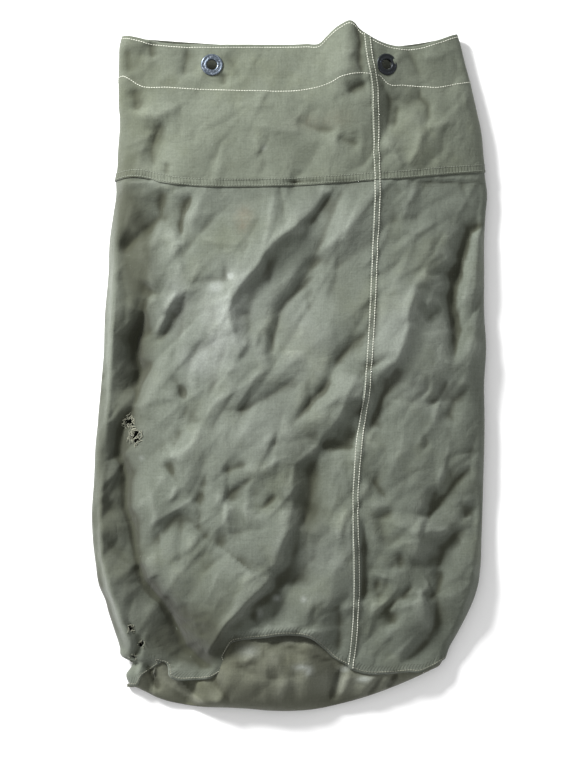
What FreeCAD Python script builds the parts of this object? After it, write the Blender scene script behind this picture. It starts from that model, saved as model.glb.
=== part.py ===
"""Canvas duffel bag of the kit-bag kind, empty and lying flat on its back.

A tube of cotton duck is closed at one end by a sewn-in round bottom and open at the other.
The tube is four panels: two for the body and two for the yoke above it. The left and right
panels meet in two lapped seams, one on the front and one on the back. Inside the mouth a
facing doubles the yoke, and four steel eyelets with washers pass through both layers.

The empty tube lies flattened: the front layer arches over a shallow hollow, the back layer
lies on the surface below, and the bottom folds round the closed end.

Frame: +Z up from the surface the bag lies on, +Y towards the mouth, +X to the bag's right as
it is looked down on. The origin is the middle of the bag's outline, on that surface. mm.
"""
import FreeCAD
import Part
import math
import os

# ---------------------------------------------------------------- driving dimensions
LENGTH = 858.0            # closed end to mouth, laid flat
WIDTH = 503.0             # widest place, laid flat
HEIGHT = 56.0             # the front layer's highest arch
CLOTH = 1.2               # cotton duck
THREAD = 0.3              # how far a row of stitches stands out of the cloth
THREAD_WIDTH = 1.1

YOKE_DEPTH = 193.0        # yoke seam up to the mouth, on the centre line
YOKE_LAP = 12.0           # body cloth that runs up under the yoke
YOKE_SEAM_RADIUS = 1726.0  # the seam dips towards the closed end in the middle
YOKE_ROWS = (2.2, 9.6)    # stitch rows above the yoke's edge

FACING_DEPTH = 70.0       # inside band at the mouth
HEM_ROW = 3.5             # hem stitches above the facing's lower edge
EDGE_ROW = 4.0            # stitches below the mouth's edge

SEAM_LAP = 10.0           # width of the lapped seams that join left to right
SEAM_ROWS = 6.0           # between the two stitch rows of a lapped seam

BASE_SHOW = 92.0          # how much of the round bottom shows, on the centre line
BASE_SEAM_RADIUS = 369.0
BASE_END_RADIUS = 439.0   # the outline round the closed end
BASE_ALLOWANCE = 12.0     # bottom cloth turned up inside the body
BASE_SHIFT = -11.0        # the closed end sits this far left of the middle
BASE_ROW = 3.2            # stitches above the bottom's seam

EYELET_BORE = 6.6         # radius of the hole
EYELET_WALL = 0.7
EYELET_FLANGE = 14.0      # radius of the rim outside
EYELET_HEIGHT = 1.6       # rim above the cloth
WASHER_RADIUS = 12.5
WASHER_THICK = 1.0
EYELET_FIT = 0.15         # between the barrel and the cloth
EYELET_SEAT = 0.1         # how far the rim and the washer press into the cloth
EYELET_DOWN = 37.0        # eyelet centre below the mouth's edge
EYELET_LEFT = -99.0       # front left eyelet
EYELET_RIGHT = 122.0      # front right eyelet, beside the front seam

RIDGE = 26.0              # the front cloth stands up in a ridge beside the seam
RIDGE_AT = 86.0
RIDGE_SPREAD = 34.0

MOUTH_Y = LENGTH / 2
END_Y = -LENGTH / 2
HALF = WIDTH / 2
FLOOR_MOUTH = 2 * CLOTH + THREAD + 0.1     # the body cloth above the surface at the mouth
FLOOR_MIDDLE = CLOTH + THREAD + 0.1        # and along the body, over the back seam

# The flattened tube: how far along, the left and right edges as shares of half the width,
# the height as a share of HEIGHT, and the cloth's lowest level there.
STATIONS = [
    (1.03, -0.845, 0.830, 0.36, FLOOR_MOUTH),
    (0.90, -0.862, 0.892, 0.60, FLOOR_MOUTH),
    (0.75, -0.858, 0.955, 0.79, FLOOR_MOUTH),
    (0.56, -0.888, 1.000, 0.89, FLOOR_MOUTH),
    (0.28, -0.930, 0.990, 0.93, FLOOR_MIDDLE),
    (0.00, -0.955, 0.988, 0.97, FLOOR_MIDDLE),
    (-0.28, -0.990, 0.978, 1.00, FLOOR_MIDDLE),
    (-0.49, -1.000, 0.967, 0.97, FLOOR_MIDDLE),
    (-0.65, -0.952, 0.935, 0.89, FLOOR_MIDDLE),
    (-0.79, -0.872, 0.825, 0.72, FLOOR_MIDDLE),
    (-0.91, -0.822, 0.690, 0.44, 0.5),
    (-1.04, -0.760, 0.560, 0.22, 0.0),
]

# The front seam's wander, as (share of half the length, X). The back seam is its half turn.
SEAM = [(1.03, 96.0), (0.90, 103.0), (0.75, 108.0), (0.56, 110.5), (0.28, 106.5),
        (0.00, 99.0), (-0.18, 88.5), (-0.35, 82.5), (-0.56, 83.0), (-0.80, 78.0),
        (-1.04, 66.0)]

FOLD_EDGE = 9.0           # level of the side folds above the cloth's lowest level
FOLD_RADIUS = 3.4         # how tightly the cloth turns at the side folds
ARCH = 2.3                # the front's arch: 2 is an ellipse, more is flatter on top
SPLIT_Z = 6.5             # a level inside the hollow, between the front and back layers
FAR = 2 * LENGTH


def vector(x, y, z=0.0):
    return FreeCAD.Vector(x, y, z)


# ---------------------------------------------------------------- the flattened form
def ridge(x, along):
    """Height of the ridge beside the front seam: full near the mouth, gone at the yoke seam."""
    fade = max(0.0, min(1.0, (along - 0.56) / 0.34))
    fade = fade * fade * (3 - 2 * fade)
    return RIDGE * fade * math.exp(-0.5 * ((x - RIDGE_AT) / RIDGE_SPREAD) ** 2)


def section(station, offset, count=22):
    """One cross-section as a closed smooth wire, moved outwards by offset along its normals."""
    along, left, right, tall, floor = station
    middle, half = HALF * (left + right) / 2, HALF * (right - left) / 2
    top = HEIGHT * tall
    edge = floor + min(FOLD_EDGE, (top - floor) / 2)

    def point(t):
        across = math.cos(t)
        x = middle + half * across
        reach = top - edge if math.sin(t) > 0 else floor - edge
        power = max(ARCH, 2 * half * FOLD_RADIUS / reach ** 2)
        bulge = max(0.0, 1 - abs(across) ** power) ** 0.5
        if math.sin(t) > 0:
            return x, edge + (reach + ridge(x, along)) * bulge
        return x, edge + reach * bulge

    points = []
    for i in range(2 * count):
        t = math.pi * (i + 0.5) / count
        x, z = point(t)
        x0, z0 = point(t - 0.01)
        x1, z1 = point(t + 0.01)
        size = math.hypot(x1 - x0, z1 - z0)
        points.append(vector(x + offset * (z1 - z0) / size, along * MOUTH_Y,
                             z - offset * (x1 - x0) / size))
    curve = Part.BSplineCurve()
    curve.interpolate(Points=points, PeriodicFlag=True)
    return Part.Wire([curve.toShape()])


def upright_cylinder(x, y, radius):
    return Part.makeCylinder(radius, 4 * HEIGHT, vector(x, y, -HEIGHT))


def block(x0, x1, y0, y1, z0=-HEIGHT, z1=3 * HEIGHT):
    return Part.makeBox(x1 - x0, y1 - y0, z1 - z0, vector(x0, y0, z0))


def kept(make):
    """Remembers what a function made for each set of arguments."""
    made = {}

    def look_up(*given):
        if given not in made:
            made[given] = make(*given)
        return made[given]
    return look_up


@kept
def form(offset):
    """The bag as one closed solid, offset outwards from the body cloth's outer face."""
    loft = Part.makeLoft([section(s, offset) for s in STATIONS], True, False)
    round_end = upright_cylinder(BASE_SHIFT, END_Y + BASE_END_RADIUS, BASE_END_RADIUS + offset)
    beyond = block(-FAR, FAR, -FAR, END_Y * 0.6).cut(round_end)
    past_mouth = block(-FAR, FAR, MOUTH_Y, FAR)
    return loft.cut(beyond).cut(past_mouth)


@kept
def skin(inner, outer):
    """The layer of cloth between two offsets."""
    return form(outer).cut(form(inner))


# ---------------------------------------------------------------- cutting regions
def above_yoke_seam(up=0.0):
    """Everything on the mouth side of the yoke's edge, or of a line that far above it."""
    low = MOUTH_Y - YOKE_DEPTH + up
    return upright_cylinder(0, low + YOKE_SEAM_RADIUS, YOKE_SEAM_RADIUS)


def below_base_seam(up=0.0):
    """Everything on the closed side of the bottom's seam, or of a line that far above it."""
    radius = BASE_SEAM_RADIUS + up
    return upright_cylinder(BASE_SHIFT, END_Y + BASE_SHOW - BASE_SEAM_RADIUS, radius)


def seam_line(turn, shift):
    """The lapped seam's path, moved sideways. turn is 1 for the front, -1 for the back."""
    points = [vector(turn * (x + shift), along * MOUTH_Y, -HEIGHT) for along, x in SEAM]
    curve = Part.BSplineCurve()
    curve.interpolate(Points=points)
    return curve.toShape(), points[0], points[-1]


@kept
def strip(turn, low, high):
    """The upright region between two sideways shifts of a lapped seam."""
    near, near_top, near_end = seam_line(turn, low)
    far, far_top, far_end = seam_line(turn, high)
    wire = Part.Wire(Part.__sortEdges__([near, far, Part.makeLine(near_top, far_top),
                                         Part.makeLine(near_end, far_end)]))
    region = Part.Face(wire).extrude(vector(0, 0, 4 * HEIGHT))
    layer = block(-FAR, FAR, -FAR, FAR, SPLIT_Z, 3 * HEIGHT) if turn > 0 else \
        block(-FAR, FAR, -FAR, FAR, -HEIGHT, SPLIT_Z)
    return region.common(layer)


@kept
def panel_side(name):
    """The region that the left or right panels take up: one side fold and two seams' reach."""
    front = strip(1, -FAR, 0) if name == "left" else strip(1, 0, FAR)
    back = strip(-1, 0, FAR) if name == "left" else strip(-1, -FAR, 0)
    return front.fuse(back)


@kept
def seam_lap(name):
    """Where that side's panels lap over the other side's: right in front, left behind."""
    half = SEAM_LAP / 2
    return strip(1, -half, half) if name == "right" else strip(-1, -half, half)


# ---------------------------------------------------------------- cloth
def body_panel(name):
    """Half of the body's tube, with its lap over the other half."""
    reach = above_yoke_seam(YOKE_LAP).fuse(below_base_seam())
    plain = skin(-CLOTH, 0).cut(reach).common(panel_side(name))
    lap = skin(0, CLOTH).cut(above_yoke_seam().fuse(below_base_seam())).common(seam_lap(name))
    return plain.fuse(lap)


def yoke_panel(name, holes):
    """Half of the yoke, lapped over the body's upper edge."""
    plain = skin(0, CLOTH).common(above_yoke_seam()).common(panel_side(name))
    lap = skin(CLOTH, 2 * CLOTH).common(above_yoke_seam()).common(seam_lap(name))
    return plain.fuse(lap).cut(holes)


def mouth_facing(holes):
    """The band inside the mouth, a closed ring of the same cloth."""
    band = block(-FAR, FAR, MOUTH_Y - FACING_DEPTH, FAR)
    return skin(-CLOTH, 0).common(band).cut(holes)


def base_panel():
    """The round bottom, folded round the closed end, with its edge turned up inside the body."""
    double = form(0).cut(form(-2 * CLOTH)).common(below_base_seam(BASE_ALLOWANCE))
    single = double.cut(form(-CLOTH).common(below_base_seam(-BASE_ALLOWANCE / 2)))
    return single.cut(skin(-CLOTH, 0).cut(below_base_seam()))


# ---------------------------------------------------------------- stitch rows
def across_rows():
    """The rows that run round the bag, as name to solid. Each stops at the lapped seams."""
    laps = seam_lap("left").fuse(seam_lap("right"))
    over_yoke = skin(CLOTH, CLOTH + THREAD)
    edge_y = MOUTH_Y - EDGE_ROW
    hem_y = MOUTH_Y - FACING_DEPTH + HEM_ROW
    rows = {
        "mouth_edge_stitches": over_yoke.common(block(-FAR, FAR, edge_y - THREAD_WIDTH, edge_y)),
        "hem_stitches": over_yoke.common(block(-FAR, FAR, hem_y, hem_y + THREAD_WIDTH)),
    }
    for label, up in zip(("lower", "upper"), YOKE_ROWS):
        line = above_yoke_seam(up).cut(above_yoke_seam(up + THREAD_WIDTH))
        rows["yoke_stitches_" + label] = over_yoke.common(line)
    line = below_base_seam(BASE_ROW + THREAD_WIDTH).cut(below_base_seam(BASE_ROW))
    rows["base_stitches"] = skin(0, THREAD).common(line)
    return {name: row.cut(laps) for name, row in rows.items()}


def seam_rows():
    """The two rows along each lapped seam, over the body and over the yoke."""
    rows = {}
    on_body = skin(CLOTH, CLOTH + THREAD).cut(above_yoke_seam().fuse(below_base_seam()))
    on_yoke = skin(2 * CLOTH, 2 * CLOTH + THREAD).common(above_yoke_seam())
    for side, turn in (("front", 1), ("back", -1)):
        for label, centre in (("left", -SEAM_ROWS / 2), ("right", SEAM_ROWS / 2)):
            line = strip(turn, centre - THREAD_WIDTH / 2, centre + THREAD_WIDTH / 2)
            rows[f"{side}_seam_stitches_{label}"] = Part.makeCompound(
                [on_body.common(line), on_yoke.common(line)])
    return rows


# ---------------------------------------------------------------- eyelets
def level(x, y, front):
    """The yoke's outer face under or over a point."""
    inside = Part.makeLine(vector(x, y, -HEIGHT), vector(x, y, 3 * HEIGHT)).common(form(CLOTH))
    return inside.BoundBox.ZMax if front else inside.BoundBox.ZMin


def seat(x, front):
    """Where an eyelet sits on the yoke: its centre on the outer face and the way out."""
    y = MOUTH_Y - EYELET_DOWN
    step = EYELET_FLANGE * 0.7
    slope_x = (level(x + step, y, front) - level(x - step, y, front)) / (2 * step)
    slope_y = (level(x, y + step, front) - level(x, y - step, front)) / (2 * step)
    normal = vector(-slope_x, -slope_y, 1).normalize()
    return vector(x, y, level(x, y, front)), normal if front else normal * -1


def turned(profile, place):
    """A profile of (radius, height) corners turned round the eyelet's axis."""
    wire = Part.makePolygon([vector(r, 0, h) for r, h in profile + profile[:1]])
    solid = Part.Face(wire).revolve(vector(0, 0, 0), vector(0, 0, 1), 360)
    centre, normal = place
    solid.Placement = FreeCAD.Placement(centre, FreeCAD.Rotation(vector(0, 0, 1), normal))
    return solid


def eyelet(place):
    """The barrel with its rolled rim outside and the lip set over the washer inside."""
    outer = EYELET_BORE + EYELET_WALL
    lip = EYELET_SEAT - 2 * CLOTH - WASHER_THICK
    crown = EYELET_FLANGE - 0.4 * (EYELET_FLANGE - EYELET_BORE)
    return turned([(EYELET_BORE, 0.7 * EYELET_HEIGHT), (EYELET_BORE, lip - EYELET_WALL),
                   (outer + 1.6, lip - EYELET_WALL), (outer + 1.6, lip), (outer, lip),
                   (outer, -EYELET_SEAT), (EYELET_FLANGE, -EYELET_SEAT),
                   (EYELET_FLANGE, 0.5 * EYELET_HEIGHT), (crown, EYELET_HEIGHT)], place)


def washer(place):
    """The flat ring that the barrel's lip is set over."""
    outer = EYELET_BORE + EYELET_WALL + EYELET_FIT
    top = EYELET_SEAT - 2 * CLOTH
    return turned([(outer, top), (WASHER_RADIUS, top), (WASHER_RADIUS, top - WASHER_THICK),
                   (outer, top - WASHER_THICK)], place)


def eyelet_hole(place):
    """The cut through the cloth: the barrel's hole, and flat seats for the rim and washer."""
    outer = EYELET_BORE + EYELET_WALL + EYELET_FIT
    rim = EYELET_FLANGE + EYELET_FIT
    ring = WASHER_RADIUS + EYELET_FIT
    reach = 3 * EYELET_HEIGHT
    top = EYELET_SEAT - 2 * CLOTH
    return turned([(0, reach), (rim, reach), (rim, -EYELET_SEAT), (outer, -EYELET_SEAT),
                   (outer, top), (ring, top), (ring, top - reach), (0, top - reach)], place)


# ---------------------------------------------------------------- the whole bag
def build():
    """Every piece of the bag, as name to shape."""
    places = {
        "front_left": seat(EYELET_LEFT, True),
        "front_right": seat(EYELET_RIGHT, True),
        "back_left": seat(-EYELET_RIGHT, False),
        "back_right": seat(-EYELET_LEFT, False),
    }
    holes = Part.makeCompound([eyelet_hole(p) for p in places.values()])
    parts = {"mouth_facing": mouth_facing(holes), "base_panel": base_panel()}
    for name in ("left", "right"):
        parts["body_panel_" + name] = body_panel(name)
        parts["yoke_panel_" + name] = yoke_panel(name, holes)
    for name, place in places.items():
        parts["eyelet_" + name] = eyelet(place)
        parts["eyelet_washer_" + name] = washer(place)
        print(name, [round(v, 3) for v in place[0]], [round(v, 4) for v in place[1]])
    parts.update(across_rows())
    parts.update(seam_rows())
    return parts


def main():
    os.makedirs("parts", exist_ok=True)
    parts = build()
    box = FreeCAD.BoundBox()
    for shape in parts.values():
        box.add(shape.optimalBoundingBox())
    shift = vector(-box.Center.x, -box.Center.y, -box.ZMin)
    print("moved to the middle by", [round(v, 3) for v in shift])
    for name, shape in sorted(parts.items()):
        shape.translate(shift)
        print(name, len(shape.Solids), "solids", round(shape.Volume), "mm3", shape.isValid())
        shape.exportStep(f"parts/{name}.step")


main()
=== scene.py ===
import math
import random

import bmesh
import bpy
import numpy as np
from mathutils import Matrix, Vector
from mathutils.geometry import delaunay_2d_cdt


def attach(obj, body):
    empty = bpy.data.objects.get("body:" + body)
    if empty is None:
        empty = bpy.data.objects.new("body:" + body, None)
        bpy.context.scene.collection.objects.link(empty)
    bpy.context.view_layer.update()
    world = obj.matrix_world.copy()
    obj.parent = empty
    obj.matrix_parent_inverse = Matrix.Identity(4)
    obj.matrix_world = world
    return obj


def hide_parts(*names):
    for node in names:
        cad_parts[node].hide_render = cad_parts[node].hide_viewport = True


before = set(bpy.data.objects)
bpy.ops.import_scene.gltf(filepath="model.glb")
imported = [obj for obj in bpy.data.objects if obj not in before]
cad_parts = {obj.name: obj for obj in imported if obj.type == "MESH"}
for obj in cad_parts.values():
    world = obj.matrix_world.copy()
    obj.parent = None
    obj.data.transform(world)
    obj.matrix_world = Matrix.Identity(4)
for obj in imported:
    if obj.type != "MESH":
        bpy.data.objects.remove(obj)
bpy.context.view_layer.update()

# ======== camera, floor and light
# The bag lies on a pale floor and is looked at from straight above, through a long lens.
# One large soft light stands to the upper left, and the rest of the room is evenly pale.
def put(name, data):
    """Puts something new into the scene."""
    new = bpy.data.objects.new(name, data)
    bpy.context.collection.objects.link(new)
    return new


def new_material(name):
    """A new material, with its node tree and its main shader."""
    material = bpy.data.materials.new(name)
    material.use_nodes = True
    tree = material.node_tree
    return material, tree, tree.nodes["Principled BSDF"]


CAMERA_HEIGHT = 4.0
BAG_LEVEL = 0.025    # where the view's long side is measured, above the floor
VIEW_LENGTH = 0.9754
FILM = 36
camera = put("camera", bpy.data.cameras.new("camera"))
bpy.context.scene.camera = camera
camera.location = (-0.0032, -0.0123, CAMERA_HEIGHT)
camera.data.sensor_fit = "AUTO"
camera.data.sensor_width = FILM
camera.data.lens = FILM * (CAMERA_HEIGHT - BAG_LEVEL) / VIEW_LENGTH
bpy.context.scene.view_settings.view_transform = "Standard"

floor_shape = bmesh.new()
bmesh.ops.create_grid(floor_shape, x_segments=1, y_segments=1, size=6.0)
floor_mesh = bpy.data.meshes.new("floor")
floor_shape.to_mesh(floor_mesh)
floor_shape.free()
floor = put("floor", floor_mesh)
floor_paint, _, floor_shader = new_material("pale floor")
floor_shader.inputs["Base Color"].default_value = (0.93, 0.93, 0.93, 1)
floor_shader.inputs["Roughness"].default_value = 0.95
floor_mesh.materials.append(floor_paint)


def softbox(name, place, target, size, power):
    """A square studio light that faces the target."""
    lamp = put(name, bpy.data.lights.new(name, "AREA"))
    lamp.location = place
    lamp.rotation_mode = "QUATERNION"
    lamp.rotation_quaternion = (Vector(target) - Vector(place)).to_track_quat("-Z", "Y")
    lamp.data.size = size
    lamp.data.energy = power


softbox("key light", place=(-2.2, 2.15, 1.65), target=(0, 0, 0), size=0.9, power=330)
room = bpy.data.worlds.new("room")
room.use_nodes = True
walls = room.node_tree.nodes["Background"]
walls.inputs["Color"].default_value = (1.0, 1.0, 1.0, 1)
walls.inputs["Strength"].default_value = 0.75
bpy.context.scene.world = room

# ======== how the cloth lies
# The empty tube lies flat: its front arches over a shallow hollow, its back rests on the floor,
# and each side is a soft fold. All of this section is in millimetres, in the bag's own frame.
MM = 0.001
LEFT_SIDE = [(-432, -204), (-397, -204), (-391, -207), (-382, -209), (-372, -202), (-367, -201),
             (-361, -213), (-348, -217), (-332, -222), (-317, -227), (-302, -232), (-287, -236),
             (-271, -243), (-241, -248), (-210, -251.5), (-180, -252.7), (-134, -250), (-104, -249),
             (-58, -245), (-12, -241), (33, -237.5), (79, -236), (125, -232), (171, -230),
             (201, -226), (232, -221.5), (247, -222), (262, -219), (277, -218.5), (325, -216),
             (338, -217), (372, -217.5), (399, -217), (420, -216), (432, -213), (448, -213)]
RIGHT_SIDE = [(-432, 172), (-397, 186), (-378, 192), (-363, 198), (-348, 203), (-332, 212),
              (-317, 220), (-302, 227.5), (-287, 234), (-271, 239), (-241, 243), (-210, 244),
              (-180, 245), (-134, 246.5), (-58, 248), (-12, 247.5), (33, 250), (79, 247.5),
              (125, 247.5), (171, 247.5), (201, 249), (232, 251), (247, 249), (277, 245.5),
              (308, 242.5), (338, 236), (369, 229), (399, 221), (420, 216), (434, 212), (448, 210)]
ARCH = [(-445, 12), (-390, 25), (-339, 40), (-279, 50), (-210, 54), (-120, 56), (0, 54),
        (120, 52), (240, 50), (322, 44), (386, 33.6), (445, 20)]
LEVEL = [(-445, 0.0), (-390, 0.5), (-339, 1.6), (120, 1.6), (240, 2.8), (445, 2.8)]


def through(stations, at):
    """The smooth line through the stations listed, read at the places given."""
    x, y = (np.array(v, float) for v in zip(*stations))
    slope = np.gradient(y, x)
    at = np.clip(at, x[0], x[-1])
    i = np.clip(np.searchsorted(x, at) - 1, 0, len(x) - 2)
    gap = x[i + 1] - x[i]
    t = (at - x[i]) / gap
    return ((2 * t ** 3 - 3 * t ** 2 + 1) * y[i] + (t ** 3 - 2 * t ** 2 + t) * gap * slope[i]
            + (3 * t ** 2 - 2 * t ** 3) * y[i + 1] + (t ** 3 - t ** 2) * gap * slope[i + 1])


CELL = 1.5
raster_x = np.arange(-264, 265, CELL)
raster_y = np.arange(-441, 453, CELL)
relief = np.zeros((len(raster_y), len(raster_x)))

FADE = 3.1          # a fold is gone at this many times its width
GAIN = 1.45         # all the folds' heights are raised by this
KEENNESS = 2.1      # how quickly a fold falls away from its crest
POINTED = 0.34      # the share of a fold's length in which it rises from either end


def fold(path, height, left, right, edge=1.2):
    """One fold in the front cloth: a ridge, or a valley if height is below 0. It is sharpest along
    the path. Its width differs to the left and the right of the way that the path runs."""
    reach = (FADE + 0.1) * max(left, right) + 2
    xs, ys = zip(*path)
    c0, c1 = np.searchsorted(raster_x, (min(xs) - reach, max(xs) + reach))
    r0, r1 = np.searchsorted(raster_y, (min(ys) - reach, max(ys) + reach))
    x, y = np.meshgrid(raster_x[c0:c1], raster_y[r0:r1])
    if not x.size:
        return
    best, side, along, start = np.full(x.shape, 1e9), np.ones(x.shape), np.zeros(x.shape), 0.0
    for (ax, ay), (bx, by) in zip(path, path[1:]):
        dx, dy = bx - ax, by - ay
        size = math.hypot(dx, dy)
        t = np.clip(((x - ax) * dx + (y - ay) * dy) / size ** 2, 0, 1)
        gap = np.hypot(x - ax - t * dx, y - ay - t * dy)
        near = gap < best
        best = np.where(near, gap, best)
        side = np.where(near, dx * (y - ay) - dy * (x - ax), side)
        along = np.where(near, start + t * size, along)
        start += size
    share = along / start
    ends = np.clip(np.minimum(share, 1 - share) / POINTED, 0, 1)
    ends = 0.05 + 0.95 * ends * (2 - ends)
    width = np.where(side > 0, left, right) * (0.35 + 0.65 * ends)
    fall = np.clip(1 - (np.sqrt(best ** 2 + edge ** 2) - edge) / (FADE * width), 0, 1)
    relief[r0:r1, c0:c1] += GAIN * height * ends * fall ** KEENNESS


def swell(x, y, height, wide, long):
    """A soft bulge or hollow."""
    relief[:] += height * np.exp(-((raster_x[None, :] - x) / wide) ** 2
                                 - ((raster_y[:, None] - y) / long) ** 2)


# the left side of the body, from the yoke down
fold([(-162, 236), (-162, 221), (-164, 200), (-177, 187), (-194, 176)], -8, 13, 17)
fold([(-190, 178), (-207, 160), (-211, 150)], -5, 8, 8)
fold([(-193, 170), (-177, 131), (-168, 102)], 4.5, 9, 16)
fold([(-180, 118), (-194, 82)], -4, 12, 9)
fold([(-167, 100), (-193, 72), (-220, 51)], 6, 8, 18)
fold([(-180, 96), (-196, 45), (-196, 21), (-191, 6), (-196, -40)], -17, 11, 13)
fold([(-196, -30), (-200, -45), (-214, -72), (-218, -100), (-209, -127), (-209, -169),
      (-201, -190), (-194, -234), (-187, -268)], -15, 11, 12)
fold([(-189, -240), (-186, -262), (-163, -289), (-144, -322), (-134, -346), (-111, -365),
      (-98, -376)], -17, 10, 21, 2)
fold([(-223, -159), (-248, -200)], -4, 8, 9)
fold([(-248, -200), (-215, -228), (-188, -254)], -5, 10, 11)
fold([(-144, 105), (-160, 68), (-172, 50)], 4.5, 6, 13)
fold([(-130, 108), (-138, 82), (-164, 46), (-181, 37)], -3, 12, 6)
fold([(-130, 110), (-118, 116), (-100, 119), (-83, 120), (-81, 139)], -2, 5, 5)
fold([(-123, 228), (-134, 205), (-138, 189), (-138, 165)], -5.5, 5, 8)
fold([(-137, 165), (-131, 124)], -1.2, 5, 4)
fold([(-149, -2), (-138, -18), (-134, -33)], -2, 6, 6)
fold([(-142, -12), (-128, -36), (-137, -61)], -3, 7, 5)
fold([(-222, 220), (-224, 120), (-226, 40), (-229, -30), (-235, -90)], 8, 9, 7)
fold([(-238, -130), (-240, -190), (-238, -230), (-226, -275), (-211, -315), (-198, -352)], 12, 12, 8)
fold([(-215, -310), (-201, -323), (-189, -341), (-199, -362)], -2.5, 3, 3)
# the long slanting folds of the middle
fold([(56, 238), (28, 204), (-24, 165), (-40, 140), (-71, 102), (-78, 79), (-73, 58), (-64, 22)],
     9, 13, 36)
fold([(66, 232), (52, 200), (38, 165), (34, 148), (12, 116)], -3, 6, 12)
fold([(-16, 152), (-45, 108), (-52, 75), (-50, 35)], -4, 15, 13)
fold([(-29, 157), (-26, 111)], -1.5, 5, 5)
fold([(36, 128), (13, 108), (-5, 92), (-13, 79), (-19, 51), (-26, 27), (-18, 9)], -6, 18, 7)
fold([(-60, 4), (-73, -12)], -1.5, 6, 6)
fold([(52, 228), (29, 197), (11, 187)], -5, 9, 9)
fold([(87, 220), (81, 205), (66, 173), (31, 149)], 3.5, 10, 22)
fold([(40, 148), (13, 116), (3, 104)], -2.5, 7, 7)
fold([(99, 51), (82, 43), (63, 21), (42, -17), (6, -58)], -3, 7, 5)
fold([(55, -7), (24, -40), (0, -67)], -2.8, 8, 6)
fold([(12, 0), (-5, -14), (-27, -28), (-53, -43), (-84, -49)], -4, 15, 7)
fold([(-56, 4), (-68, -7), (-98, -40), (-111, -64)], 3.5, 9, 16)
fold([(-111, -60), (-121, -87), (-139, -104), (-163, -103)], 4.5, 9, 13)
fold([(-52, -112), (-86, -124)], -3, 8, 6)
fold([(-42, -127), (-71, -148), (-86, -163)], -4, 9, 7)
fold([(-1, -101), (-39, -121), (-52, -142), (-56, -169), (-53, -193)], 2.2, 6, 7)
fold([(-95, -148), (-79, -169), (-79, -179), (-90, -210)], 3, 7, 14)
fold([(-158, -111), (-137, -142)], -2.2, 7, 7)
fold([(-137, -172), (-192, -234)], -3.6, 12, 8)
fold([(-137, -172), (-141, -250)], -3, 8, 8)
fold([(-137, -172), (-97, -216)], -3, 8, 10)
fold([(-97, -216), (-137, -253)], -2.4, 8, 8)
fold([(-108, -150), (-122, -163)], -1.8, 6, 6)
fold([(-133, -289), (-129, -309)], -2, 6, 6)
fold([(-116, -314), (-108, -333)], -2.4, 6, 6)
# the deep hollow beside the front seam, and the big fold that runs from it to the base
fold([(88, 2), (74, -20), (62, -53), (39, -88)], 9, 14, 46)
fold([(86, -92), (39, -90)], -6, 12, 22)
fold([(92, -30), (86, -62), (80, -88)], -4, 6, 16)
fold([(41, -86), (23, -98), (4, -114), (2, -169)], 7, 11, 32)
fold([(26, -104), (26, -153), (16, -198)], -6, 12, 13)
fold([(3, -160), (-8, -210), (-24, -256)], 8, 17, 42)
fold([(14, -195), (2, -240), (-20, -275), (-60, -302)], -7, 26, 12)
fold([(-22, -248), (-30, -263), (-60, -292), (-82, -314), (-98, -339), (-106, -356)], 14, 9, 36)
fold([(53, -193), (28, -219)], -2.4, 7, 7)
fold([(71, -168), (60, -218)], 2.2, 6, 7)
fold([(-84, -327), (-40, -325), (0, -322), (26, -328), (46, -342)], 4, 12, 8)
fold([(62, -290), (62, -330), (59, -360)], -5, 9, 17)
swell(34, -296, 6, 26, 24)
swell(12, -262, -4, 30, 18)
# the round bottom's own folds
fold([(-162, -368), (-149, -390), (-128, -408), (-104, -422)], 4, 4, 7, 0.8)
fold([(-184, -366), (-166, -404)], -4.5, 6, 6, 0.8)
fold([(-100, -386), (-84, -404), (-76, -420)], -3.4, 9, 5, 0.8)
fold([(-73, -362), (-52, -378), (-20, -384), (24, -381)], -2, 9, 4, 0.8)
fold([(62, -372), (57, -398), (50, -416)], -4.5, 6, 4, 0.8)
fold([(75, -378), (61, -412)], 3.4, 4, 6, 0.8)
fold([(137, -378), (122, -402)], -4.5, 5, 4, 0.8)
fold([(119, -382), (96, -412)], -4, 6, 4, 0.8)
fold([(-24, -350), (-6, -386), (-14, -424)], 2.2, 4, 8, 0.8)
fold([(-44, -352), (-62, -368)], 2.6, 4, 5, 0.6)
# right of the front seam
fold([(252, 194), (228, 181), (218, 152), (212, 128), (205, 98), (206, 76), (212, 56), (207, 14)],
     -13, 9, 17)
fold([(216, 140), (205, 127), (189, 129), (172, 126)], -4, 6, 10)
fold([(160, 112), (150, 82), (149, 59), (142, 38), (136, 22), (124, -8)], 7, 9, 34)
fold([(136, 14), (130, -7), (117, -28), (105, -61), (95, -86)], -9, 20, 8)
fold([(113, -67), (96, -83)], 2, 5, 5)
fold([(158, 84), (175, 87)], -2, 6, 6)
fold([(171, 66), (191, 87)], -3, 6, 6)
fold([(246, 46), (230, 19), (210, -33)], 3.5, 12, 20)
fold([(199, -7), (190, -28), (175, -43)], -2.4, 6, 5)
fold([(227, -15), (209, -33), (202, -51), (211, -64)], -3.5, 8, 8)
fold([(97, -124), (113, -145), (125, -163)], -3, 7, 6)
fold([(134, -170), (112, -182), (121, -221)], -3.5, 14, 6)
fold([(230, -117), (209, -137), (186, -169), (164, -182)], -5.5, 14, 6)
fold([(166, -178), (162, -200), (160, -240)], 5, 12, 26)
fold([(186, -145), (177, -172)], -3, 6, 6)
fold([(225, -196), (211, -202), (194, -221), (183, -261)], -4, 12, 6)
fold([(219, -161), (225, -185)], -2.2, 6, 6)
fold([(93, -180), (93, -240), (92, -300)], -4, 9, 4)
fold([(139, -224), (139, -250)], -2.2, 6, 6)
fold([(193, -248), (186, -276), (178, -283), (168, -276)], -5, 8, 9)
fold([(188, -280), (186, -317), (177, -336), (162, -352), (140, -368)], -7.5, 22, 10)
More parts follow.
